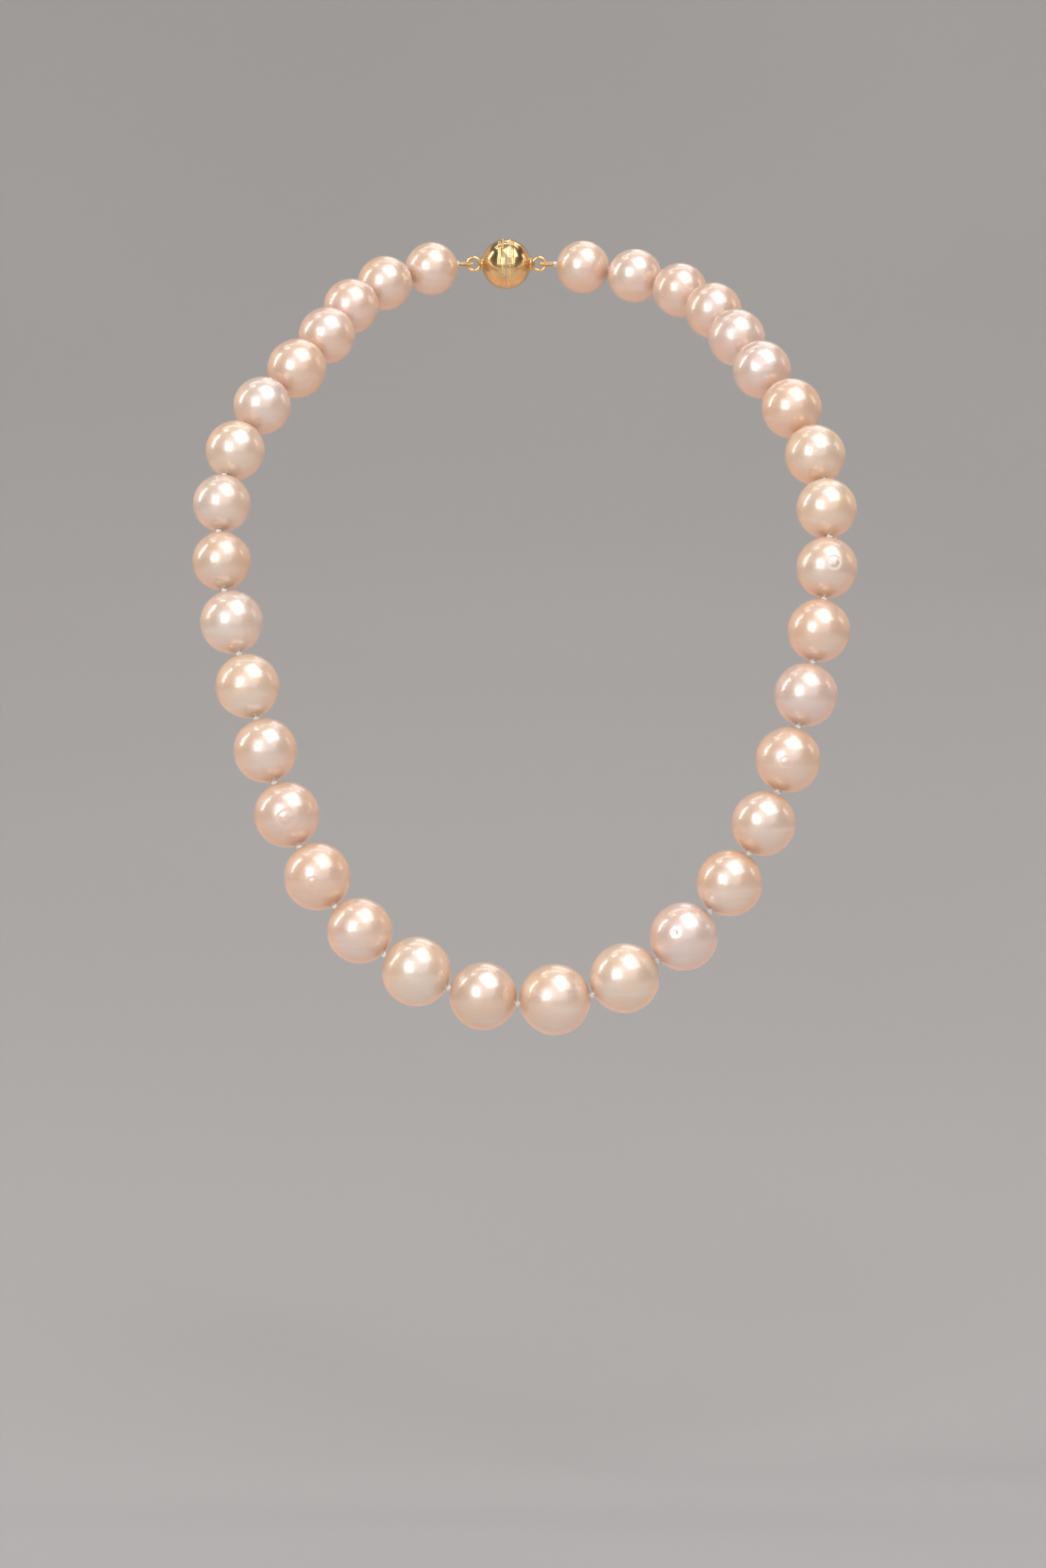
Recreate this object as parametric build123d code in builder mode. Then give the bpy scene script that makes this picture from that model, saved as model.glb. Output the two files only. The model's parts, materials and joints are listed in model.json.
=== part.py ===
from build123d import *
import os

# A knotted pearl strand with a magnetic ball clasp, lying as it lies round a neck.
# Millimetres, +Z up, +X to the viewer's right when the strand is seen from the front, -Y the
# wearer's front. The origin is on the neck's axis, level with the clasp at the nape.
# Pearls are numbered from the clasp's left half: 1 to 17, the centre pearl 18, then 19 to 35.

# ---- Pearls -------------------------------------------------------------------------------
pearls_per_side = 17
centre_pearl = 14.0  # diameter of the largest pearl
end_pearl = 11.2  # diameter of the two pearls beside the clasp
graduation_power = 0.85  # 1 is an even taper, less keeps the pearls near the centre closer
bore = 0.9  # drilled hole
# How far each pearl strays from the even taper, from the centre out to the clasp
left_strays = (-0.4, 0.2, -0.3, 0.2, 0.1, 0, 0.2, 0.2, -0.5, -0.5, 0, -0.1, 0.4, 0.1, 0, 0.1, 0)
right_strays = (0, -0.1, -0.3, -0.4, 0, -0.2, -0.1, -0.2, -0.2, 0, 0.2, 0, 0, 0.1, -0.1, 0, 0)

# ---- Silk ---------------------------------------------------------------------------------
thread_clearance = 0.1  # between the thread and the bore, all round
knot = 1.2  # knot diameter, wider than the bore so that it can't pass
mouth_clearance = 0.1  # between the knot and the countersunk mouth of a bore, all round
pearl_gap = 0.7  # space that a knot keeps between two pearls
swivel_clearance = 0.05  # between a knot and the next thread, where the strand bends
tail_pearls = 3  # beside the clasp, where the thread runs twice and the strand is stiff
bending_pearls = 7  # next to those on each side, with a bend at both ends of each

# ---- Clasp --------------------------------------------------------------------------------
clasp_ball = 10.5
face_gap = 0.15  # between the closed halves
magnet = 7.1  # diameter
magnet_thickness = 2.1
magnet_fit = 0.05  # all round the magnet in its pocket
magnet_recess = 0.1  # how far the magnet sits below the face
dome_wall = 1.25
solder_seat = 1.8  # diameter of the flat on each dome's pole
seat_height = 0.15
eye_ring = 2.7  # mean diameter
eye_wire = 0.7
solder_depth = 0.2  # how much of the ring's wire is flattened on the seat
coil_loop = 2.7  # mean diameter of the covered silk loop through the eye ring
coil_tube = 0.8  # outside diameter of the metal coil that covers the loop
coil_bore = 0.4
coil_clearance = 0.02  # between the coil and the silk in it
coil_opening = 70  # degrees of the loop left bare at the knot
buried_opening = 10  # degrees between the two ends of the silk loop, inside the knot
link_play = 0.25  # how far the ring and the loop can still be pulled apart

# ---- How the strand lies ------------------------------------------------------------------
# From the clasp's left end, round the neck, down over the chest and back up, chosen by hand.
nape = Vector(-6, 38.5, 0)  # middle of the clasp
route = [
    (-28.5, 32.5, -2),
    (-38.5, 21, -7),
    (-43.5, 8, -13.5),
    (-52, -3, -21),
    (-61.5, -16.5, -34),
    (-63, -29.5, -55),
    (-57, -40, -79),
    (-49, -49, -103.5),
    (-34, -58, -125),
    (-10, -64, -136),
    (4, -66, -136.5),
    (18, -65, -132),
    (39, -60, -113),
    (50, -53, -90),
    (56, -44, -67),
    (58.5, -32, -44),
    (53, -16, -26),
    (42.5, 1, -14),
    (36.5, 17.5, -7),
    (22, 32, -2),
]

# ---- Worked out from the sizes above ------------------------------------------------------
pearl_count = 2 * pearls_per_side + 1
centre_number = pearls_per_side + 1
thread = bore - 2 * thread_clearance
mouth_chamfer = (knot - bore) / 2 + mouth_clearance
loop_silk = coil_bore - 2 * coil_clearance
ring_centre = clasp_ball / 2 + seat_height + eye_ring / 2 + eye_wire / 2 - solder_depth
link_pitch = (eye_ring + coil_loop - eye_wire - coil_tube) / 2 - link_play
loop_centre = ring_centre + link_pitch
half_clasp = loop_centre + coil_loop / 2 + coil_tube / 2  # middle of the clasp to the end knot


def pearl_size(number):
    steps = abs(number - centre_number)
    size = centre_pearl - (centre_pearl - end_pearl) * (steps / pearls_per_side) ** graduation_power
    if steps == 0:
        return size
    strays = left_strays if number < centre_number else right_strays
    return size + strays[steps - 1]


def point_on(path, place):
    return path.position_at(place, position_mode=PositionMode.PARAMETER)


def walk(path, numbers, start, finish):
    # Steps along the path one pearl at a time, and gives the knots and the place reached.
    knots = [point_on(path, start)]
    place = start
    for number in numbers:
        stride = pearl_size(number) + pearl_gap
        near, far = place, place + (finish - start) / 10
        for _ in range(40):
            place = (near + far) / 2
            if (point_on(path, place) - knots[-1]).length < stride:
                near = place
            else:
                far = place
        knots.append(point_on(path, place))
    return knots, place


def lay_strand():
    # The route grows or shrinks about the clasp until the centre pearl closes the loop.
    scale = 1.0
    for _ in range(12):
        points = [nape + (Vector(*point) - nape) * scale for point in route]
        with BuildLine() as strand_path:
            Spline(nape - Vector(half_clasp, 0, 0), *points, nape + Vector(half_clasp, 0, 0))
        path = strand_path.edge()
        left, left_place = walk(path, range(1, centre_number), 0, 1)
        right, right_place = walk(path, range(pearl_count, centre_number, -1), 1, 0)
        space = (left[-1] - right[-1]).length
        if left_place > right_place:
            space = -space
        scale += (pearl_size(centre_number) + pearl_gap - space) / path.length
    return left + right[::-1], scale


# knots[n] is between pearl n and pearl n + 1. The first and the last are at the clasp.
knots, route_scale = lay_strand()


def drill_axis(number):
    return (knots[number] - knots[number - 1]).normalized()


def pearl_centre(number):
    return (knots[number] + knots[number - 1]) / 2


def finish_part(builder, name):
    builder.part.label = name
    export_step(builder.part, f"parts/{name}.step")


def make_pearl(number):
    with BuildPart(Plane(origin=pearl_centre(number), z_dir=drill_axis(number))) as pearl:
        Sphere(pearl_size(number) / 2)
        Cylinder(bore / 2, 2 * pearl_size(number), mode=Mode.SUBTRACT)
        chamfer(pearl.edges().filter_by(lambda edge: edge.is_closed), mouth_chamfer)
    finish_part(pearl, f"pearl_{number:02d}")


def loop_axis(side):
    return Axis(nape + Vector(side * loop_centre, 0, 0), (0, 0, 1))


def loop_section(side, opening):
    # Plane across the loop's tube, where the loop starts beside its opening.
    turn = opening / 2 + (0 if side > 0 else 180)
    start = Location(loop_axis(side).position, (0, 0, turn)) * Location((coil_loop / 2, 0, 0), (90, 0, 0))
    return Plane(start)


def add_thread(pearl, held_knots):
    # Straight thread through a pearl, from knot to knot. It stops short of a knot that belongs to
    # the next length of silk, so that the strand can bend there.
    along = drill_axis(pearl)
    short = knot / 2 + swivel_clearance
    start = knots[pearl - 1] + along * (0 if pearl - 1 in held_knots else short)
    end = knots[pearl] - along * (0 if pearl in held_knots else short)
    with Locations(Plane(origin=(start + end) / 2, z_dir=along)):
        Cylinder(thread / 2, (end - start).length)


def make_silk(name, pearls, held_knots, loop_side=0):
    # One length of silk through these pearls, with the knots that are tied in it.
    with BuildPart() as silk:
        for held in held_knots:
            along = drill_axis(held if held in pearls else held + 1)
            with Locations(Plane(origin=knots[held], z_dir=along)):
                Sphere(knot / 2)
        for pearl in pearls:
            add_thread(pearl, held_knots)
        if loop_side:
            with BuildSketch(loop_section(loop_side, buried_opening)):
                Circle(loop_silk / 2)
            revolve(axis=loop_axis(loop_side), revolution_arc=360 - buried_opening)
    finish_part(silk, name)


def make_all_silk():
    front_start = tail_pearls + bending_pearls  # knot before the first pearl of the front length
    front_end = pearl_count - front_start
    make_silk("silk_front", range(front_start + 1, front_end + 1), range(front_start, front_end + 1))
    for step in range(1, bending_pearls + 1):
        left, right = front_start - step, front_end + step
        make_silk(f"silk_left_{step}", [left + 1], [left])
        make_silk(f"silk_right_{step}", [right], [right])
    tail = bending_pearls + 1
    last_pearls = range(pearl_count - tail_pearls + 1, pearl_count + 1)
    make_silk(f"silk_left_{tail}", range(1, tail_pearls + 1), range(tail_pearls), loop_side=-1)
    make_silk(f"silk_right_{tail}", last_pearls, last_pearls, loop_side=1)


def make_clasp_half(side, side_name):
    # Looking out from the middle of the clasp: the face is near z = 0 and the ring beyond it.
    outward = Plane(origin=nape, x_dir=(0, 1, 0), z_dir=(side, 0, 0))
    face = face_gap / 2
    pocket_depth = magnet_recess + magnet_thickness
    seat_top = clasp_ball / 2 + seat_height

    with BuildPart(outward) as shell:
        Sphere(clasp_ball / 2)
        with Locations((0, 0, seat_top / 2)):
            Cylinder(solder_seat / 2, seat_top)
        split(bisect_by=outward.offset(face), keep=Keep.TOP)
        with BuildPart(outward, mode=Mode.PRIVATE) as cavity:
            Sphere(clasp_ball / 2 - dome_wall)
            split(bisect_by=outward.offset(face + pocket_depth), keep=Keep.TOP)
        add(cavity.part, mode=Mode.SUBTRACT)
        with Locations((0, 0, face + pocket_depth / 2)):
            Cylinder(magnet / 2 + magnet_fit, pocket_depth, mode=Mode.SUBTRACT)
    finish_part(shell, f"clasp_shell_{side_name}")

    with BuildPart(outward.offset(face + magnet_recess)) as disc:
        Cylinder(magnet / 2, magnet_thickness, align=(Align.CENTER, Align.CENTER, Align.MIN))
    finish_part(disc, f"clasp_magnet_{side_name}")

    with BuildPart(Plane(origin=outward.offset(ring_centre).origin, z_dir=(0, 1, 0))) as ring:
        Torus(eye_ring / 2, eye_wire / 2)
        split(bisect_by=outward.offset(seat_top), keep=Keep.TOP)
    finish_part(ring, f"clasp_ring_{side_name}")

    with BuildPart() as coil:
        with BuildSketch(loop_section(side, coil_opening)):
            Circle(coil_tube / 2)
            Circle(coil_bore / 2, mode=Mode.SUBTRACT)
        revolve(axis=loop_axis(side), revolution_arc=360 - coil_opening)
    finish_part(coil, f"french_wire_{side_name}")


def main():
    os.makedirs("parts", exist_ok=True)
    for number in range(1, pearl_count + 1):
        make_pearl(number)
    make_all_silk()
    make_clasp_half(-1, "left")
    make_clasp_half(1, "right")
    print(f"strand of {pearl_count} pearls, route scale {route_scale:.4f}")


main()
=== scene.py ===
import json
import math

import bpy
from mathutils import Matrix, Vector


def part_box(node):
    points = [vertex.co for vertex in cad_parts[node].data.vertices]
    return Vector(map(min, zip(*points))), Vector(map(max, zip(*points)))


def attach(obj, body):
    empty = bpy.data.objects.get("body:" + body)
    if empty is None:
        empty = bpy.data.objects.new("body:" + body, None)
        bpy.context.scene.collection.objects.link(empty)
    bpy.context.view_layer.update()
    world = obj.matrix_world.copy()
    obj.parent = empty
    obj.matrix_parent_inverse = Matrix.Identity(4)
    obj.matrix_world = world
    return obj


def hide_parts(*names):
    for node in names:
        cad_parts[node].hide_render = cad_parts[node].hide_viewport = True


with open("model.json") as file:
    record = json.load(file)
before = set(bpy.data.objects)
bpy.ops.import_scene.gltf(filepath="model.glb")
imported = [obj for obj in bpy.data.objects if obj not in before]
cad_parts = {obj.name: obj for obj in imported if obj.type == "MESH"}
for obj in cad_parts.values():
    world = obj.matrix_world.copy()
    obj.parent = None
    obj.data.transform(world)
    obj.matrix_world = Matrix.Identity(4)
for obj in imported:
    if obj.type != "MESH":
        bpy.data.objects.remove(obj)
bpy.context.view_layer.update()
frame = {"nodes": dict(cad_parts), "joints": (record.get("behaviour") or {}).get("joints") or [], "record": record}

# A knotted pearl strand with a magnetic ball clasp. Metres, in the strand's own frame:
# +X to the viewer's right, -Y the wearer's front, +Z up.
mm = 0.001
joints = {joint["name"]: joint for joint in frame["joints"]}
pearlCount = sum(name.startswith("spin_") for name in joints)
nape = Vector(joints["clasp_twist_left"]["pos_m"])  # middle of the clasp

view = {
    "place": (-2.5, -1141, 97),  # mm
    "tiltDown": 10,  # degrees
    "lens": 128.7,  # mm, on a sensor of this width
    "sensor": 36,
    "nearest": 50,  # mm, nothing nearer than this is seen
}

camera = bpy.data.objects.new("camera", bpy.data.cameras.new("camera"))
camera.location = Vector(view["place"]) * mm
camera.rotation_euler = (math.radians(90 - view["tiltDown"]), 0, 0)
camera.data.lens = view["lens"]
camera.data.sensor_width = view["sensor"]
camera.data.clip_start = view["nearest"] * mm
bpy.context.scene.collection.objects.link(camera)
bpy.context.scene.camera = camera
bpy.context.scene.view_settings.view_transform = "Standard"
print("camera ready")


# Short ways to build node trees
def addNode(tree, kind, inputs=None, **settings):
    # A new node. An input is given as a value or as the output socket that feeds it.
    node = tree.nodes.new(kind)
    for setting, value in settings.items():
        setattr(node, setting, value)
    for socket, value in (inputs or {}).items():
        if isinstance(value, bpy.types.NodeSocket):
            tree.links.new(value, node.inputs[socket])
        else:
            node.inputs[socket].default_value = value
    return node


def calc(tree, operation, *values):
    return addNode(tree, "ShaderNodeMath", dict(enumerate(values)), operation=operation).outputs[0]


def vector(tree, x, y, z):
    return addNode(tree, "ShaderNodeCombineXYZ", {"X": x, "Y": y, "Z": z}).outputs[0]


def vectorCalc(tree, operation, a, b):
    node = addNode(tree, "ShaderNodeVectorMath", {0: a, 1: b}, operation=operation)
    return node.outputs["Value" if operation in ("DOT_PRODUCT", "DISTANCE") else "Vector"]


def unitVector(tree, a):
    return addNode(tree, "ShaderNodeVectorMath", {0: a}, operation="NORMALIZE").outputs[0]


def scaled(tree, a, share):
    return addNode(tree, "ShaderNodeVectorMath", {0: a, "Scale": share}, operation="SCALE").outputs[0]


def fade(tree, value, low, high, start=0.0, end=1.0):
    # Eases from start to end while value goes from low to high.
    inputs = {"Value": value, "From Min": low, "From Max": high, "To Min": start, "To Max": end}
    return addNode(tree, "ShaderNodeMapRange", inputs, interpolation_type="SMOOTHSTEP").outputs[0]


def hump(tree, value, middle, width):
    # 1 where value is at the middle, falling to 0 on both sides like a bell.
    away = calc(tree, "DIVIDE", calc(tree, "SUBTRACT", value, middle), width)
    return calc(tree, "EXPONENT", calc(tree, "MULTIPLY", calc(tree, "MULTIPLY", away, away), -1.0))


def newTree(name, inputs):
    # A Geometry Nodes tree with named inputs. Gives the tree and its input sockets by name.
    tree = bpy.data.node_groups.new(name, "GeometryNodeTree")
    tree.interface.new_socket("Geometry", in_out="OUTPUT", socket_type="NodeSocketGeometry")
    tree.interface.new_socket("Geometry", in_out="INPUT", socket_type="NodeSocketGeometry")
    for socket, kind in inputs.items():
        tree.interface.new_socket(socket, in_out="INPUT", socket_type="NodeSocket" + kind)
    return tree, tree.nodes.new("NodeGroupInput").outputs


def endTree(tree, shape, material):
    real = addNode(tree, "GeometryNodeRealizeInstances", {"Geometry": shape})
    painted = addNode(tree, "GeometryNodeSetMaterial", {"Geometry": real.outputs[0], "Material": material})
    addNode(tree, "NodeGroupOutput", {"Geometry": painted.outputs[0]})


def grow(name, tree, values, base=None):
    # Runs a tree on a base mesh and keeps the result as a plain mesh object.
    seedObject = bpy.data.objects.new(name + ".base", base or bpy.data.meshes.new(name + ".base"))
    bpy.context.scene.collection.objects.link(seedObject)
    modifier = seedObject.modifiers.new("grow", "NODES")
    modifier.node_group = tree
    for item in tree.interface.items_tree:
        if item.in_out == "INPUT" and item.name in values:
            modifier[item.identifier] = values[item.name]
    evaluated = seedObject.evaluated_get(bpy.context.evaluated_depsgraph_get())
    mesh = bpy.data.meshes.new_from_object(evaluated)
    mesh.name = name
    bpy.data.objects.remove(seedObject)
    piece = bpy.data.objects.new(name, mesh)
    bpy.context.scene.collection.objects.link(piece)
    return piece


def newMaterial(name, **values):
    # A material with its main shader set. Gives the material, its tree and its shader.
    material = bpy.data.materials.new(name)
    material.use_nodes = True
    tree = material.node_tree
    shader = tree.nodes["Principled BSDF"]
    for socket, value in values.items():
        shader.inputs[socket].default_value = value
    return material, tree, shader


def place(tree, centre=(0, 0, 0), stretch=(1, 1, 1)):
    # Object coordinates, centred and stretched.
    coordinates = addNode(tree, "ShaderNodeTexCoord").outputs["Object"]
    inputs = {"Vector": coordinates, "Location": centre, "Scale": stretch}
    return addNode(tree, "ShaderNodeMapping", inputs, vector_type="TEXTURE").outputs[0]


def noise(tree, where, size, detail=2.0, roughness=0.5, warp=0.0):
    # Noise with patches of about this size, in metres
    return addNode(tree, "ShaderNodeTexNoise", {
        "Vector": where, "Scale": 1 / size, "Detail": detail, "Roughness": roughness, "Distortion": warp,
    }).outputs[0]


def ramp(tree, value, stops):
    # Colours by place along the ramp, as (place, (red, green, blue)).
    node = addNode(tree, "ShaderNodeValToRGB", {"Fac": value})
    elements = node.color_ramp.elements
    while len(elements) < len(stops):
        elements.new(0.5)
    for element, (position, colour) in zip(elements, stops):
        element.position = position
        element.color = (*colour, 1)
    return node.outputs[0]


def tinted(tree, colour, tint, share):
    # A colour with a share of a tint mixed in
    inputs = {0: share, 6: colour, 7: (*tint, 1)}  # the mix node's factor and its two colours
    return addNode(tree, "ShaderNodeMix", inputs, data_type="RGBA").outputs[2]


def bump(tree, height, distance, over=None):
    # A bumped normal, over another one if there is one
    inputs = {"Height": height, "Distance": distance, "Strength": 1.0}
    if over:
        inputs["Normal"] = over
    return addNode(tree, "ShaderNodeBump", inputs).outputs[0]


# The strand is sorted to one shade, so the tones lie close together
nacreTones = {
    "rose": (0.735, 0.485, 0.32),
    "peach": (0.745, 0.465, 0.29),
    "cream": (0.75, 0.515, 0.335),
    "silver": (0.72, 0.52, 0.38),
    "mauve": (0.705, 0.46, 0.295),
    "lilac": (0.72, 0.49, 0.37),
    "pink": (0.73, 0.47, 0.325),
}
nacre = {
    "lustre": 0.1,
    "ior": 3.0,
    "satin": (0.39, 0.46),  # roughness of the smoothest and the dullest patches
    "coatIor": 2.0,
    "coatRoughness": 0.17,
    "glow": 0.3,  # share of the light that goes under the skin
    "glowReach": 1.8 * mm,  # how far it spreads there
    "glowColour": (1.0, 0.55, 0.4),
    "halo": 0.1,  # a pale edge from the finest platelets
    "haloSpread": 0.4,
    "haloTint": (1.0, 0.68, 0.5, 1),
    "patch": 8 * mm,
    "cooler": (-0.02, 0.03, 0.06),  # how a cool patch differs from the body colour
    "warmer": (0.01, -0.03, -0.06),
    "band": 4 * mm,  # growth bands
    "bandStretch": (6, 6, 0.7),
    "bandTint": (0.93, 0.84, 0.79),
    "bandShare": 0.22,
    "cloud": 1.3 * mm,  # clouding in the layers under the skin
    "cloudShare": 0.1,
    "peel": 1.6 * mm,  # size and depth of the orange peel
    "peelDepth": 0.06 * mm,
    "platelet": 0.28 * mm,
    "plateletDepth": 0.004 * mm,
}


def makeNacre(tone):
    body = nacreTones[tone]
    cool = tuple(map(sum, zip(body, nacre["cooler"])))
    warm = tuple(map(sum, zip(body, nacre["warmer"])))
    material, tree, shader = newMaterial("nacre." + tone, **{
        "Metallic": nacre["lustre"], "IOR": nacre["ior"],
        "Coat Weight": 1.0, "Coat IOR": nacre["coatIor"], "Coat Roughness": nacre["coatRoughness"],
        "Subsurface Weight": nacre["glow"], "Subsurface Scale": nacre["glowReach"],
        "Subsurface Radius": nacre["glowColour"],
        "Sheen Weight": nacre["halo"], "Sheen Roughness": nacre["haloSpread"],
        "Sheen Tint": nacre["haloTint"],
    })
    where = place(tree)
    patches = noise(tree, where, nacre["patch"], roughness=0.45, warp=0.4)
    colour = ramp(tree, patches, [(0.3, cool), (0.5, body), (0.72, warm)])
    # Faint growth bands and fine clouding in the layers under the skin
    stretched = place(tree, stretch=nacre["bandStretch"])
    bands = noise(tree, stretched, nacre["band"], detail=3.0, roughness=0.6, warp=0.3)
    clouds = noise(tree, where, nacre["cloud"], detail=4.0, roughness=0.6)
    paler = fade(tree, bands, 0.5, 0.75, end=nacre["bandShare"])
    colour = tinted(tree, colour, nacre["bandTint"], paler)
    dusk = fade(tree, clouds, 0.35, 0.7, start=nacre["cloudShare"], end=0.0)
    colour = tinted(tree, colour, warm, dusk)
    tree.links.new(colour, shader.inputs["Base Color"])
    smoothest, dullest = nacre["satin"]
    gloss = fade(tree, patches, 0.3, 0.7, smoothest, dullest)
    tree.links.new(gloss, shader.inputs["Roughness"])
    # Overlapping platelets: a fine orange peel that breaks the edges of the highlights
    peel = noise(tree, where, nacre["peel"], detail=3.0)
    platelets = noise(tree, where, nacre["platelet"], roughness=0.55)
    soft = bump(tree, peel, nacre["peelDepth"])
    fine = bump(tree, platelets, nacre["plateletDepth"], over=soft)
    tree.links.new(fine, shader.inputs["Normal"])
    tree.links.new(soft, shader.inputs["Coat Normal"])
    return material


nacreOf = {tone: makeNacre(tone) for tone in nacreTones}


pearl = {
    "Around": 96,
    "Along": 72,
    "Bore": 0.9 * mm,
    "Mouth": 0.25 * mm,  # how wide the edge of the drill hole is broken
    "Out of round": 0.007,  # most between its high and low places, as a share of the diameter
    "Ripple": 0.035 * mm,  # height of the faint waves in the skin
    "As drilled": 0.75 * mm,  # no relief nearer than this to the drill hole's axis
    "Full relief": 2.6 * mm,  # all of it further out than this
}
markedPearl = {"Around": 176, "Along": 132}  # a finer mesh where the skin has a mark
# Tone of each pearl that isn't rose, counted from the clasp's left half
toneOf = {
    "silver": (6, 8, 10),
    "cream": (7, 11, 16, 19, 27, 28),
    "lilac": (20, 24, 30, 31),
    "mauve": (9, 17),
    "peach": (5, 14, 21, 23, 25, 29),
    "pink": (3, 4, 13, 32, 33),
}
# Marks that a grower would call dimples and rings: towards which side of the pearl each lies
# (right, back, up), how wide and how deep it is in mm, and what it looks like
marks = {
    5: ((0.5, -1, -0.5), 0.7, 0.06, "dimple"),
    10: ((0.0, -1, -0.1), 0.35, 0.05, "dimple"),
    13: ((0.02, -1, 0.07), 1.4, 0.1, "ring"),
    14: ((-0.1, -1, 0.0), 1.0, 0.05, "ring"),
    17: ((0.1, -1, 0.9), 0.8, 0.05, "dimple"),
    18: ((0.5, -1, -0.1), 2.4, 0.02, "ring"),
    20: ((-0.27, -0.92, 0.3), 0.6, 0.2, "dimple"),
    23: ((-0.1, -1, 0.1), 0.9, 0.06, "ring"),
    25: ((0.2, -1, 0.55), 0.4, 0.05, "dimple"),
    26: ((0.2, -1, 0.35), 1.1, 0.12, "ring"),
    28: ((0.4, -1, -0.3), 0.9, 0.05, "dimple"),
    30: ((-0.1, -1, 0.5), 1.3, 0.1, "dimple"),
}
noMark = ((0, 1, 0), 1.0, 0.0, "dimple")
seedStep = 1.7  # far enough apart for each pearl to have a shape of its own


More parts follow.
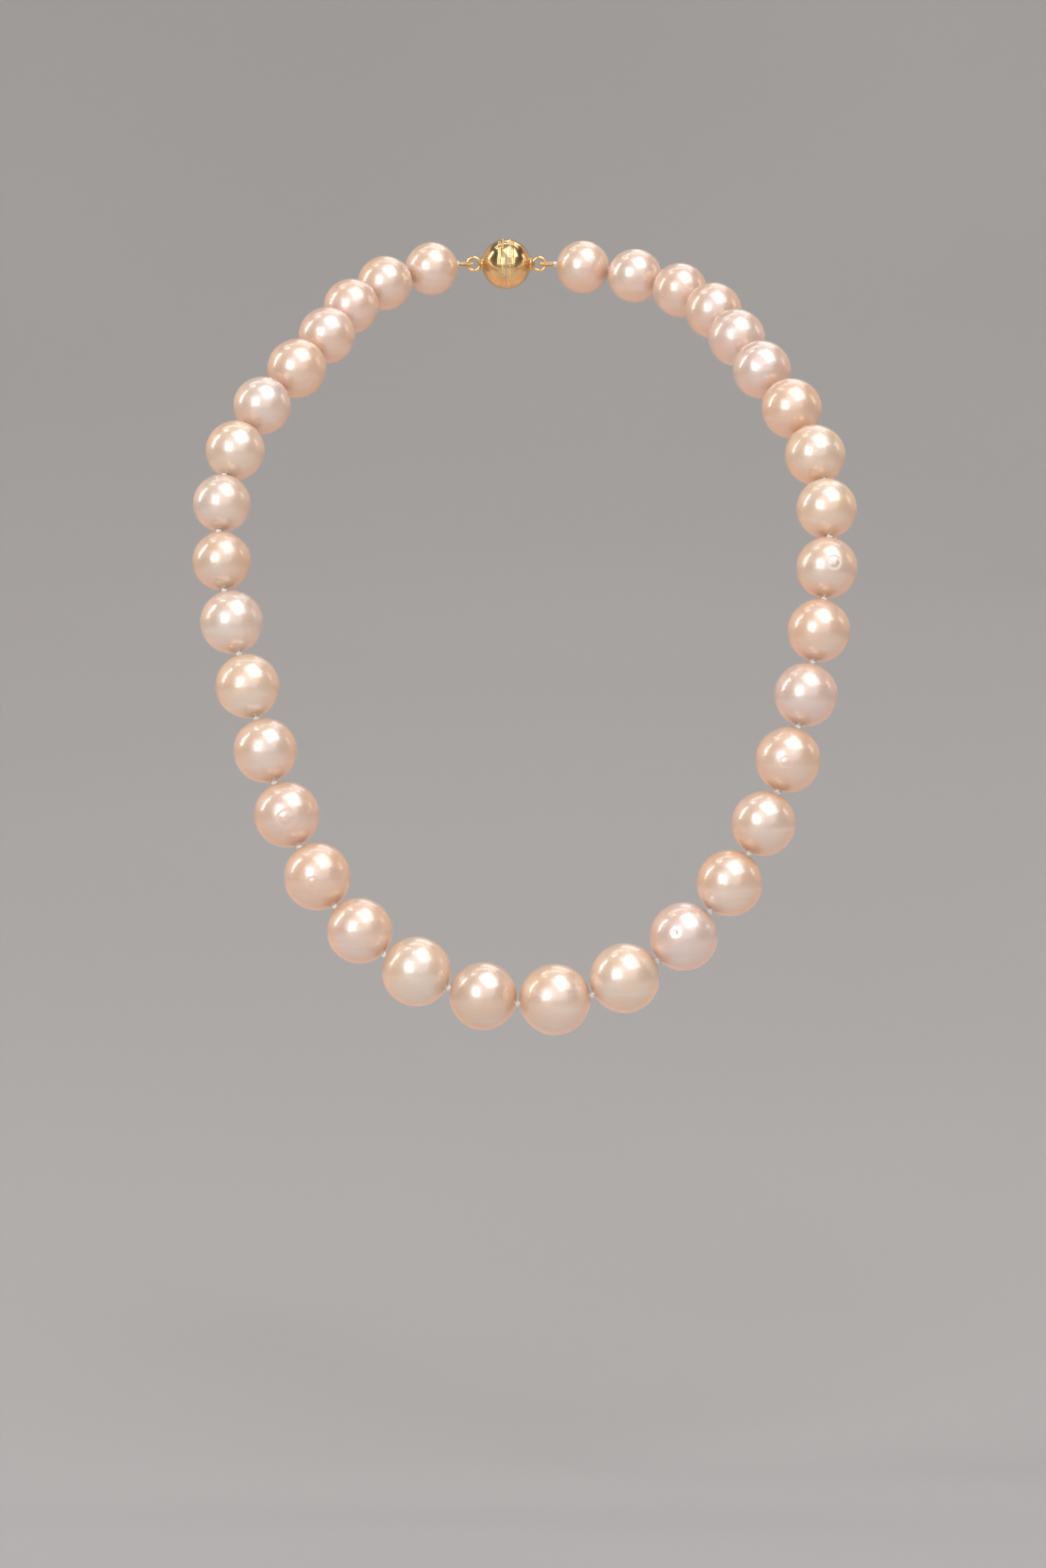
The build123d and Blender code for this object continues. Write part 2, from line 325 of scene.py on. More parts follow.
def buildPearlTree():
    tree, given = newTree("pearl", {
        "Diameter": "Float", "Bore": "Float", "Mouth": "Float", "Around": "Int", "Along": "Int",
        "Out of round": "Float", "Ripple": "Float", "As drilled": "Float", "Full relief": "Float",
        "Seed": "Float", "Centre": "Vector", "Drilled along": "Vector",
        "Mark side": "Vector", "Mark width": "Float", "Mark depth": "Float", "Mark is a ring": "Float",
        "Material": "Material",
    })
    crispAngle = 0.5  # radians, edges sharper than this stay crisp
    radius = calc(tree, "DIVIDE", given["Diameter"], 2.0)
    boreRadius = calc(tree, "DIVIDE", given["Bore"], 2.0)
    edgeRadius = calc(tree, "ADD", boreRadius, given["Mouth"])
    edgeTurn = calc(tree, "ARCSINE", calc(tree, "DIVIDE", edgeRadius, radius))
    edgeHeight = calc(tree, "MULTIPLY", radius, calc(tree, "COSINE", edgeTurn))
    boreHeight = calc(tree, "SUBTRACT", edgeHeight, given["Mouth"])

    onGrid = tree.nodes.new("GeometryNodeInputPosition").outputs[0]
    grid = addNode(tree, "ShaderNodeSeparateXYZ", {0: onGrid})
    turn = calc(tree, "MULTIPLY", grid.outputs["X"], math.tau)
    cosine = calc(tree, "COSINE", turn)
    sine = calc(tree, "SINE", turn)

    def turned(radial, height):
        # Places on the flat grid, wrapped round the drill hole's axis
        right = calc(tree, "MULTIPLY", radial, cosine)
        back = calc(tree, "MULTIPLY", radial, sine)
        return vector(tree, right, back, height)

    def sheet(rows, position):
        columns = calc(tree, "ADD", given["Around"], 1)
        flat = addNode(tree, "GeometryNodeMeshGrid", {"Vertices X": columns, "Vertices Y": rows})
        return addNode(tree, "GeometryNodeSetPosition", {
            "Geometry": flat.outputs["Mesh"], "Position": position,
        })

    # Skin: from the lower mouth round the outside to the upper one
    share = calc(tree, "ADD", grid.outputs["Y"], 0.5)
    span = calc(tree, "SUBTRACT", math.pi, calc(tree, "MULTIPLY", edgeTurn, 2.0))
    latitude = calc(tree, "ADD", edgeTurn, calc(tree, "MULTIPLY", share, span))
    skinRadial = calc(tree, "MULTIPLY", radius, calc(tree, "SINE", latitude))
    upward = calc(tree, "MULTIPLY", calc(tree, "COSINE", latitude), -1.0)
    skinHeight = calc(tree, "MULTIPLY", radius, upward)
    skin = sheet(given["Along"], turned(skinRadial, skinHeight))

    # Hole: back down through both broken edges and the bore, in rows at 1, 1/3, -1/3 and -1
    row = calc(tree, "MULTIPLY", grid.outputs["Y"], -2.0)
    atMouth = calc(tree, "GREATER_THAN", calc(tree, "ABSOLUTE", row), 0.6)  # first and last row
    holeRadial = calc(tree, "ADD", boreRadius, calc(tree, "MULTIPLY", atMouth, given["Mouth"]))
    reach = calc(tree, "ADD", boreHeight, calc(tree, "MULTIPLY", atMouth, given["Mouth"]))
    holeHeight = calc(tree, "MULTIPLY", calc(tree, "SIGN", row), reach)
    hole = sheet(4, turned(holeRadial, holeHeight))

    both = addNode(tree, "GeometryNodeJoinGeometry")
    for part in (hole, skin):
        tree.links.new(part.outputs[0], both.inputs[0])
    closed = addNode(tree, "GeometryNodeMergeByDistance", {
        "Geometry": both.outputs[0], "Distance": 0.0005 * mm,
    })
    smooth = addNode(tree, "GeometryNodeSetShadeSmooth", {"Geometry": closed.outputs[0]}, domain="FACE")
    angle = tree.nodes.new("GeometryNodeInputMeshEdgeAngle").outputs["Unsigned Angle"]
    crisp = addNode(tree, "GeometryNodeSetShadeSmooth", {
        "Geometry": smooth.outputs[0], "Selection": calc(tree, "GREATER_THAN", angle, crispAngle),
        "Shade Smooth": False,
    }, domain="EDGE")

    # Onto the strand: the drill axis turned to where the silk runs
    aim = addNode(tree, "FunctionNodeAlignRotationToVector", {"Vector": given["Drilled along"]}, axis="Z")
    strung = addNode(tree, "GeometryNodeTransform", {
        "Geometry": crisp.outputs[0], "Translation": given["Centre"], "Rotation": aim.outputs[0],
    })

    # Nature's part: not quite round, faintly ringed, with its own mark
    position = tree.nodes.new("GeometryNodeInputPosition").outputs[0]
    local = vectorCalc(tree, "SUBTRACT", position, given["Centre"])
    outward = unitVector(tree, local)
    swell = addNode(tree, "ShaderNodeTexNoise", {
        "Vector": outward, "W": given["Seed"], "Scale": 0.9, "Detail": 0.5,
    }, noise_dimensions="4D").outputs[0]
    lowered = calc(tree, "SUBTRACT", swell, 0.55)  # a little over the middle, to keep to the size
    swollen = calc(tree, "MULTIPLY", lowered, given["Out of round"])
    relief = calc(tree, "MULTIPLY", swollen, given["Diameter"])
    ripple = addNode(tree, "ShaderNodeTexNoise", {
        "Vector": scaled(tree, outward, 2.2), "W": given["Seed"], "Scale": 1.0, "Detail": 1.0,
    }, noise_dimensions="4D").outputs[0]
    waves = calc(tree, "MULTIPLY", calc(tree, "SUBTRACT", ripple, 0.5), given["Ripple"])
    relief = calc(tree, "ADD", relief, waves)
    # A dimple lies in the middle of the mark. A ring runs round it and is a third as wide.
    side = unitVector(tree, given["Mark side"])
    away = calc(tree, "MULTIPLY", vectorCalc(tree, "DISTANCE", outward, side), radius)
    rim = calc(tree, "MULTIPLY", given["Mark width"], given["Mark is a ring"])
    thinner = calc(tree, "ADD", 1.0, calc(tree, "MULTIPLY", given["Mark is a ring"], 2.0))
    narrow = calc(tree, "DIVIDE", given["Mark width"], thinner)
    sunk = calc(tree, "MULTIPLY", hump(tree, away, rim, narrow), given["Mark depth"])
    relief = calc(tree, "SUBTRACT", relief, sunk)
    # The relief fades out towards the drill hole, so that the mouths stay as drilled
    along = unitVector(tree, given["Drilled along"])
    height = calc(tree, "ABSOLUTE", vectorCalc(tree, "DOT_PRODUCT", outward, along))
    squared = calc(tree, "SUBTRACT", 1.0, calc(tree, "MULTIPLY", height, height))
    fromAxis = calc(tree, "SQRT", calc(tree, "MAXIMUM", squared, 0.0))
    distance = calc(tree, "MULTIPLY", fromAxis, vectorCalc(tree, "DISTANCE", local, (0, 0, 0)))
    onSkin = fade(tree, distance, given["As drilled"], given["Full relief"])
    offset = scaled(tree, outward, calc(tree, "MULTIPLY", relief, onSkin))
    grown = addNode(tree, "GeometryNodeSetPosition", {"Geometry": strung.outputs[0], "Offset": offset})
    endTree(tree, grown.outputs[0], given["Material"])
    return tree


pearlTree = buildPearlTree()


def drillAxis(number):
    return Vector(joints[f"spin_{number:02d}"]["axis"])


def pearlCentre(number):
    return Vector(joints[f"spin_{number:02d}"]["pos_m"])


def pearlDiameter(number):
    low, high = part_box(f"pearl_{number:02d}")
    return max(high - low)


def toneFor(number):
    return next((tone for tone, numbers in toneOf.items() if number in numbers), "rose")


for number in range(1, pearlCount + 1):
    name = f"pearl_{number:02d}"
    side, width, depth, look = marks.get(number, noMark)
    piece = grow(f"nacre_pearl_{number:02d}", pearlTree, {
        **pearl,
        **(markedPearl if number in marks else {}),
        "Diameter": pearlDiameter(number),
        "Seed": seedStep * number,
        "Centre": pearlCentre(number),
        "Drilled along": drillAxis(number),
        "Mark side": side,
        "Mark width": width * mm,
        "Mark depth": depth * mm,
        "Mark is a ring": 1.0 if look == "ring" else 0.0,
        "Material": nacreOf[toneFor(number)],
    })
    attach(piece, name)
    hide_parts(name)
print("pearls strung:", pearlCount)


silk = {
    "Thread": 0.35 * mm,  # radius of the whole thread
    "Plies": 3,
    "Ply offset": 0.53,  # from the thread's middle to a ply's, as a share of the thread's radius
    "Ply radius": 0.46,  # as the same share
    "Ply sides": 7,
    "Lay": 1.5 * mm,  # length of one turn of the twist
    "Points per turn": 8,
    "Knot": 0.65 * mm,  # radius of a tightened knot
    "Knot strand": 0.333,  # radius of its strand, as a share of the knot's
    "Knot points": 66,
    "Knot sides": 12,
    "Fibre": 0.09 * mm,
    "Fibre depth": 0.02 * mm,
}
# Loop of silk through each eye ring
silkLoop = {
    "radius": 1.35 * mm,
    "silk": 0.18 * mm,  # radius of the silk itself
    "opening": math.radians(10),  # between the loop's two ends, inside the knot
    "steps": 40,
}
pearlGap = 0.7 * mm  # space that a knot keeps between two pearls
swivelGap = 0.05 * mm  # between a knot and the next thread, where the strand bends


def makeSilk():
    material, tree, shader = newMaterial("silk", **{
        "Roughness": 0.6, "Sheen Weight": 0.5, "Sheen Roughness": 0.35, "Sheen Tint": (1, 0.96, 0.9, 1),
        "Subsurface Weight": 0.2, "Subsurface Scale": 0.3 * mm, "Subsurface Radius": (1, 0.9, 0.8),
    })
    fibres = noise(tree, place(tree, stretch=(1, 1, 3)), silk["Fibre"], detail=3.0, roughness=0.6)
    colour = ramp(tree, fibres, [(0.3, (0.92, 0.88, 0.81)), (0.6, (0.98, 0.96, 0.92))])
    tree.links.new(colour, shader.inputs["Base Color"])
    tree.links.new(bump(tree, fibres, silk["Fibre depth"]), shader.inputs["Normal"])
    return material


silkMaterial = makeSilk()


def buildSilkTree():
    # Edges of the base mesh become twisted thread, and its marked points become tied knots.
    # The base mesh holds the thread's radius, because a loop's silk is finer.
    tree, given = newTree("knotted silk", {
        "Plies": "Int", "Ply offset": "Float", "Ply radius": "Float", "Ply sides": "Int",
        "Lay": "Float", "Points per turn": "Int", "Knot": "Float", "Knot strand": "Float",
        "Knot points": "Int", "Knot sides": "Int", "Seed": "Int", "Material": "Material",
    })
    base = given["Geometry"]

    def attribute(name, kind):
        return addNode(tree, "GeometryNodeInputNamedAttribute", {"Name": name}, data_type=kind).outputs[0]

    thickness = attribute("thickness", "FLOAT")
    isKnot = attribute("isKnot", "FLOAT")
    direction = attribute("direction", "FLOAT_VECTOR")

    # Thread: each ply is a helix round the run of the thread
    runs = addNode(tree, "GeometryNodeMeshToCurve", {"Mesh": base})
    fine = addNode(tree, "GeometryNodeResampleCurve", {
        "Curve": runs.outputs[0], "Length": calc(tree, "DIVIDE", given["Lay"], given["Points per turn"]),
    }, mode="LENGTH")
    copies = addNode(tree, "GeometryNodeDuplicateElements", {
        "Geometry": fine.outputs[0], "Amount": given["Plies"],
    }, domain="SPLINE")
    share = calc(tree, "DIVIDE", copies.outputs["Duplicate Index"], given["Plies"])
    distance = tree.nodes.new("GeometryNodeSplineParameter").outputs["Length"]
    turns = calc(tree, "ADD", calc(tree, "DIVIDE", distance, given["Lay"]), share)
    angle = calc(tree, "MULTIPLY", turns, math.tau)
    normal = tree.nodes.new("GeometryNodeInputNormal").outputs["Normal"]
    tangent = tree.nodes.new("GeometryNodeInputTangent").outputs[0]
    across = vectorCalc(tree, "CROSS_PRODUCT", tangent, normal)
    out = calc(tree, "MULTIPLY", thickness, given["Ply offset"])
    offset = vectorCalc(
        tree, "ADD",
        scaled(tree, normal, calc(tree, "MULTIPLY", calc(tree, "COSINE", angle), out)),
        scaled(tree, across, calc(tree, "MULTIPLY", calc(tree, "SINE", angle), out)),
    )
    plies = addNode(tree, "GeometryNodeSetPosition", {
        "Geometry": copies.outputs["Geometry"], "Offset": offset,
    })
    plySection = addNode(tree, "GeometryNodeCurvePrimitiveCircle", {
        "Resolution": given["Ply sides"], "Radius": 1.0,
    })
    thread = addNode(tree, "GeometryNodeCurveToMesh", {
        "Curve": plies.outputs[0], "Profile Curve": plySection.outputs[0],
        "Scale": calc(tree, "MULTIPLY", thickness, given["Ply radius"]), "Fill Caps": True,
    })

    # Knot: an overhand knot pulled tight. Its strand runs at r = 2 + cos 3t and has its own radius
    # outside that, so that 4.5 of the curve's units make the knot's radius. It rises by 2.2 of them.
    unitsOut, unitsUp = 4.5, 2.2
    loop = addNode(tree, "GeometryNodeCurvePrimitiveCircle", {
        "Resolution": given["Knot points"], "Radius": 1.0,
    })
    t = calc(tree, "MULTIPLY", tree.nodes.new("GeometryNodeSplineParameter").outputs["Factor"], math.tau)
    three = calc(tree, "MULTIPLY", t, 3.0)
    two = calc(tree, "MULTIPLY", t, 2.0)
    reach = calc(tree, "ADD", 2.0, calc(tree, "COSINE", three))
    unit = calc(tree, "DIVIDE", given["Knot"], unitsOut)
    radial = calc(tree, "MULTIPLY", reach, unit)
    tied = addNode(tree, "GeometryNodeSetPosition", {
        "Geometry": loop.outputs[0],
        "Position": vector(
            tree,
            calc(tree, "MULTIPLY", radial, calc(tree, "COSINE", two)),
            calc(tree, "MULTIPLY", radial, calc(tree, "SINE", two)),
            calc(tree, "MULTIPLY", calc(tree, "SINE", three), calc(tree, "MULTIPLY", unit, unitsUp)),
        ),
    })
    strandRadius = calc(tree, "MULTIPLY", given["Knot"], given["Knot strand"])
    strand = addNode(tree, "GeometryNodeCurvePrimitiveCircle", {
        "Resolution": given["Knot sides"], "Radius": strandRadius,
    })
    knot = addNode(tree, "GeometryNodeCurveToMesh", {
        "Curve": tied.outputs[0], "Profile Curve": strand.outputs[0],
    })
    points = addNode(tree, "GeometryNodeMeshToPoints", {"Mesh": base, "Selection": isKnot})
    aim = addNode(tree, "FunctionNodeAlignRotationToVector", {"Vector": direction}, axis="Z")
    # Inputs 2 and 3 are the least and the most that a knot is turned about the thread
    anyTurn = addNode(tree, "FunctionNodeRandomValue", {
        2: 0.0, 3: math.tau, "Seed": given["Seed"],
    }, data_type="FLOAT")
    spin = addNode(tree, "FunctionNodeAxisAngleToRotation", {
        "Axis": (0, 0, 1), "Angle": anyTurn.outputs[1],
    })
    turned = addNode(tree, "FunctionNodeRotateRotation", {
        "Rotation": aim.outputs[0], "Rotate By": spin.outputs[0],
    }, rotation_space="LOCAL")
    knots = addNode(tree, "GeometryNodeInstanceOnPoints", {
        "Points": points.outputs[0], "Instance": knot.outputs[0], "Rotation": turned.outputs[0],
    })
    both = addNode(tree, "GeometryNodeJoinGeometry")
    for part in (knots, thread):
        tree.links.new(part.outputs[0], both.inputs[0])
    smooth = addNode(tree, "GeometryNodeSetShadeSmooth", {"Geometry": both.outputs[0]})
    endTree(tree, smooth.outputs[0], given["Material"])
    return tree


silkTree = buildSilkTree()


def knotPlace(index):
    # Knot between pearl index and pearl index + 1. The first and last are beside the clasp.
    number, way = (index, 1) if index else (1, -1)
    reach = (pearlDiameter(number) + pearlGap) / 2
    return pearlCentre(number) + drillAxis(number) * reach * way


def makeSilkBase(name, pearls, heldKnots, loopPoints):
    # Straight edges through the pearls, a point at each knot, and the loop at the clasp.
    points, edges, values = [], [], []

    def addPoint(point, thickness, isKnot=0.0, direction=(0, 0, 1)):
        points.append(point)
        values.append((thickness, isKnot, direction))
        return len(points) - 1

    short = silk["Knot"] + swivelGap
    for number in pearls:
        axis = drillAxis(number)
        start = knotPlace(number - 1) + axis * (0 if number - 1 in heldKnots else short)
        end = knotPlace(number) - axis * (0 if number in heldKnots else short)
        edges.append((addPoint(start, silk["Thread"]), addPoint(end, silk["Thread"])))
    for held in heldKnots:
        nearest = held if held in pearls else held + 1
        addPoint(knotPlace(held), silk["Thread"], 1.0, drillAxis(nearest))
    loop = [addPoint(point, silkLoop["silk"]) for point in loopPoints]
    edges += list(zip(loop, loop[1:]))

    mesh = bpy.data.meshes.new(name)
    mesh.from_pydata(points, edges, [])
    for attribute, kind in (("thickness", "FLOAT"), ("isKnot", "FLOAT"), ("direction", "FLOAT_VECTOR")):
        mesh.attributes.new(attribute, kind, "POINT")
    for index, (thickness, isKnot, direction) in enumerate(values):
        mesh.attributes["thickness"].data[index].value = thickness
        mesh.attributes["isKnot"].data[index].value = isKnot
        mesh.attributes["direction"].data[index].vector = direction
    return mesh


# The fine coil that covers each loop of silk
frenchWire = {
    "Loop radius": silkLoop["radius"],
    "Coil radius": 0.4 * mm,
    "Wire": 0.065 * mm,  # radius
    "Wire sides": 6,
    "Turns": 50,
    "Points per turn": 10,
    "Opening": math.radians(70),  # part of the loop that is left bare at the knot
}


def loopCentre(side):
    low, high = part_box("french_wire_left" if side < 0 else "french_wire_right")
    outer = silkLoop["radius"] + frenchWire["Coil radius"]
    return Vector((high.x - outer if side < 0 else low.x + outer, nape.y, nape.z))


def loopRun(side):
    # Points round the loop, open towards the strand
    centre, opening, steps = loopCentre(side), silkLoop["opening"], silkLoop["steps"]
    points = []
    for step in range(steps + 1):
        turn = opening / 2 + (math.tau - opening) * step / steps
        points.append(centre + Vector((side * math.cos(turn), math.sin(turn), 0)) * silkLoop["radius"])
    return points


# The body that each length of silk and each coil rides on
bodies = frame["record"]["behaviour"]["bodies"]
ownerOf = {node: body for body, nodes in bodies.items() for node in nodes}
tailPearls = 3  # beside the clasp on each side, on doubled silk
bendingPearls = 7  # next to those, each on a length of its own
frontStart = tailPearls + bendingPearls  # knot before the first pearl of the front length
frontEnd = pearlCount - frontStart
tail = bendingPearls + 1  # number of the last length on each side, up to the clasp
lastPearls = range(pearlCount - tailPearls + 1, pearlCount + 1)
# Each length of silk: its pearls, the knots that are tied in it and its loop's points
silkRuns = {"silk_front": (range(frontStart + 1, frontEnd + 1), range(frontStart, frontEnd + 1), ())}
for step in range(1, bendingPearls + 1):
    left, right = frontStart - step, frontEnd + step
    silkRuns[f"silk_left_{step}"] = ([left + 1], [left], ())
    silkRuns[f"silk_right_{step}"] = ([right], [right], ())
silkRuns[f"silk_left_{tail}"] = (range(1, tailPearls + 1), range(tailPearls), loopRun(-1))
silkRuns[f"silk_right_{tail}"] = (lastPearls, lastPearls, loopRun(1))

for seed, (node, (pearls, heldKnots, loopPoints)) in enumerate(silkRuns.items()):
    base = makeSilkBase(node, pearls, heldKnots, loopPoints)
    name = node.replace("silk_", "knotted_silk_")
    piece = grow(name, silkTree, {**silk, "Seed": seed, "Material": silkMaterial}, base)
    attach(piece, ownerOf[node])
    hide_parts(node)
print("silk lengths tied:", len(silkRuns))


goldWear = {
    "patch": 2 * mm,  # size of the worn and the polished places
    "darkening": 0.82,  # what is left of the colour where it is worn
    "dulling": 0.1,  # roughness that wear adds
    "scratch": 0.12 * mm,
    "scratchDepth": 0.0015 * mm,
}
plating = {
    "patch": 1.5 * mm,
    "dark": (0.60, 0.60, 0.62),
    "bright": (0.76, 0.75, 0.74),
    "roughness": (0.16, 0.30),
    "ring": 1.2 * mm,  # marks of the lathe
    "ringDepth": 0.002 * mm,
}


def makeGold(name, colour, roughness):
    material, tree, shader = newMaterial(name, **{"Metallic": 1.0})
    wear = noise(tree, place(tree), goldWear["patch"], detail=3.0, roughness=0.6)
    across = place(tree, stretch=(1, 9, 1))
    scratches = noise(tree, across, goldWear["scratch"], warp=1.5)
    darker = tuple(channel * goldWear["darkening"] for channel in colour)
    dull = fade(tree, wear, 0.3, 0.75, roughness, roughness + goldWear["dulling"])
    tree.links.new(ramp(tree, wear, [(0.3, darker), (0.62, colour)]), shader.inputs["Base Color"])
    tree.links.new(dull, shader.inputs["Roughness"])
    tree.links.new(bump(tree, scratches, goldWear["scratchDepth"]), shader.inputs["Normal"])
    return material


def makeMagnetPlating():
    # Bright nickel with the faint rings of its turned faces, centred on the clasp's axis
    material, tree, shader = newMaterial("nickel plating", **{"Metallic": 1.0})
    where = place(tree, centre=nape)
    lathe = addNode(tree, "ShaderNodeTexWave", {
        "Vector": where, "Scale": 1 / plating["ring"], "Distortion": 0.6, "Detail": 1.0,
    }, wave_type="RINGS", rings_direction="X").outputs[1]
    tint = noise(tree, where, plating["patch"], detail=3.0, roughness=0.6)
    colour = ramp(tree, tint, [(0.3, plating["dark"]), (0.7, plating["bright"])])
    smoothest, dullest = plating["roughness"]
    tree.links.new(colour, shader.inputs["Base Color"])
    tree.links.new(fade(tree, tint, 0.3, 0.7, smoothest, dullest), shader.inputs["Roughness"])
    tree.links.new(bump(tree, lathe, plating["ringDepth"]), shader.inputs["Normal"])
    return material


gold = makeGold("polished gold", (0.88, 0.62, 0.30), 0.12)
wireGold = makeGold("french wire gold", (0.90, 0.66, 0.34), 0.24)
nickel = makeMagnetPlating()


def buildFrenchWireTree():
    # A line wound round the loop and round the loop's own thickness at the same time
    tree, given = newTree("french wire", {
        "Loop radius": "Float", "Coil radius": "Float", "Wire": "Float", "Wire sides": "Int",
        "Turns": "Int", "Points per turn": "Int", "Opening": "Float", "Centre": "Vector",
        "Facing": "Float", "Material": "Material",
    })
    steps = calc(tree, "MULTIPLY", given["Turns"], given["Points per turn"])
    line = addNode(tree, "GeometryNodeCurvePrimitiveLine")
    fine = addNode(tree, "GeometryNodeResampleCurve", {
        "Curve": line.outputs[0], "Count": steps,
    }, mode="COUNT")
    along = tree.nodes.new("GeometryNodeSplineParameter").outputs["Factor"]
    span = calc(tree, "SUBTRACT", math.tau, given["Opening"])
    start = calc(tree, "DIVIDE", given["Opening"], 2.0)
    turn = calc(tree, "ADD", start, calc(tree, "MULTIPLY", along, span))
    turn = calc(tree, "ADD", turn, given["Facing"])
    winding = calc(tree, "MULTIPLY", calc(tree, "MULTIPLY", along, given["Turns"]), math.tau)
    reach = calc(tree, "SUBTRACT", given["Coil radius"], given["Wire"])
    inAndOut = calc(tree, "MULTIPLY", reach, calc(tree, "COSINE", winding))
    radial = calc(tree, "ADD", given["Loop radius"], inAndOut)
    position = vector(
        tree,
        calc(tree, "MULTIPLY", radial, calc(tree, "COSINE", turn)),
        calc(tree, "MULTIPLY", radial, calc(tree, "SINE", turn)),
        calc(tree, "MULTIPLY", reach, calc(tree, "SINE", winding)),
    )
    placed = vectorCalc(tree, "ADD", position, given["Centre"])
    coil = addNode(tree, "GeometryNodeSetPosition", {"Geometry": fine.outputs[0], "Position": placed})
    section = addNode(tree, "GeometryNodeCurvePrimitiveCircle", {
        "Resolution": given["Wire sides"], "Radius": given["Wire"],
    })
    wire = addNode(tree, "GeometryNodeCurveToMesh", {
        "Curve": coil.outputs[0], "Profile Curve": section.outputs[0], "Fill Caps": True,
    })
    smooth = addNode(tree, "GeometryNodeSetShadeSmooth", {"Geometry": wire.outputs[0]})
    endTree(tree, smooth.outputs[0], given["Material"])
    return tree


frenchWireTree = buildFrenchWireTree()
for side, sideName in ((-1, "left"), (1, "right")):
    node = f"french_wire_{sideName}"
    piece = grow(f"coiled_wire_{sideName}", frenchWireTree, {
        **frenchWire, "Centre": loopCentre(side), "Facing": math.pi if side < 0 else 0.0,
        "Material": wireGold,
    })
    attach(piece, ownerOf[node])
    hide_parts(node)
print("french wire wound")


# Radii, and places along the clasp's axis from its middle
clasp = {
    "ball": 5.25 * mm,
    "face": 0.075 * mm,  # half the gap between the two halves
    "pocket": 3.6 * mm,
    "pocketDepth": 2.2 * mm,
    "cavity": 4.0 * mm,
    "seat": 0.9 * mm,  # flat that the eye ring is soldered to
    "seatTop": 5.4 * mm,
    "collet": 1.35 * mm,  # the solder fillet at its foot
    "grooves": (1.25 * mm, 1.6 * mm),
    "grooveWidth": 0.07 * mm,
    "grooveDepth": 0.06 * mm,
    "filletSteps": 8,
    "domeSteps": 110,
    "cavitySteps": 24,
    "segments": 128,
    "crispAngle": 40,  # degrees, edges sharper than this stay crisp
}
milgrain = {"Beads": 72, "Bead": 0.2 * mm, "Row radius": 5.18 * mm, "Row height": 0.75 * mm}


def arcPoints(radius, start, end, steps):
    # Points on a circle about the middle, as (along the clasp's axis, out from it)
    turns = [start + (end - start) * step / steps for step in range(steps + 1)]
    return [(radius * math.cos(turn), radius * math.sin(turn)) for turn in turns]


def grooved(points):
    # Turned lines: the dome is let in a little at each groove
    cut = []
    for along, out in points:
        sunk = 0
        for groove in clasp["grooves"]:
            sunk += clasp["grooveDepth"] * math.exp(-((along - groove) / clasp["grooveWidth"]) ** 2)
        length = math.hypot(along, out)
        cut.append((along * (1 - sunk / length), out * (1 - sunk / length)))
    return cut


def shellProfile():
    # From the top of the seat out over the dome, then in through the pocket to the cavity's roof
    ball, face, steps = clasp["ball"], clasp["face"], clasp["filletSteps"]
    foot = math.asin(clasp["collet"] / ball)
    rim = math.acos(face / ball)
    fillet = []
    footAlong = ball * math.cos(foot)
    for step in range(1, steps):
        turn = math.pi / 2 * step / steps
        fillet.append((
            clasp["seatTop"] - (clasp["seatTop"] - footAlong) * (1 - math.sin(turn)),
            clasp["collet"] - (clasp["collet"] - clasp["seat"]) * (1 - math.cos(turn)),
        ))
    dome = grooved(arcPoints(ball, foot, rim, clasp["domeSteps"]))
    floor = face + clasp["pocketDepth"]
    start = math.acos(floor / clasp["cavity"])
    inside = arcPoints(clasp["cavity"], start, 0, clasp["cavitySteps"])[:-1]
    top = [(clasp["seatTop"], 0.0)]
    flat = [(clasp["seatTop"], clasp["seat"])]
    pocket = [(face, clasp["pocket"]), (floor, clasp["pocket"])]
    return top + flat + fillet[::-1] + dome + pocket + inside + [(clasp["cavity"], 0.0)]


def turnShell(name, side):
    # Turns the profile about the clasp's axis, with a single point where it meets the axis. The left
    # half is the right one turned half round.
    profile, count = shellProfile(), clasp["segments"]
    points, rings, faces = [], [], []
    for along, out in profile:
        ring = []
        for step in range(count if out else 1):
            turn = math.tau * step / count
            offset = Vector((side * along, side * out * math.cos(turn), out * math.sin(turn)))
            ring.append(len(points))
            points.append(nape + offset)
        rings.append(ring)
    for inner, outer in zip(rings, rings[1:]):
        for step in range(count):
            after = (step + 1) % count
            if len(inner) == 1:
                faces.append((inner[0], outer[step], outer[after]))
            elif len(outer) == 1:
                faces.append((inner[step], outer[0], inner[after]))
            else:
                faces.append((inner[step], outer[step], outer[after], inner[after]))
    mesh = bpy.data.meshes.new(name)
    mesh.from_pydata(points, [], faces)
    mesh.materials.append(gold)
    return mesh


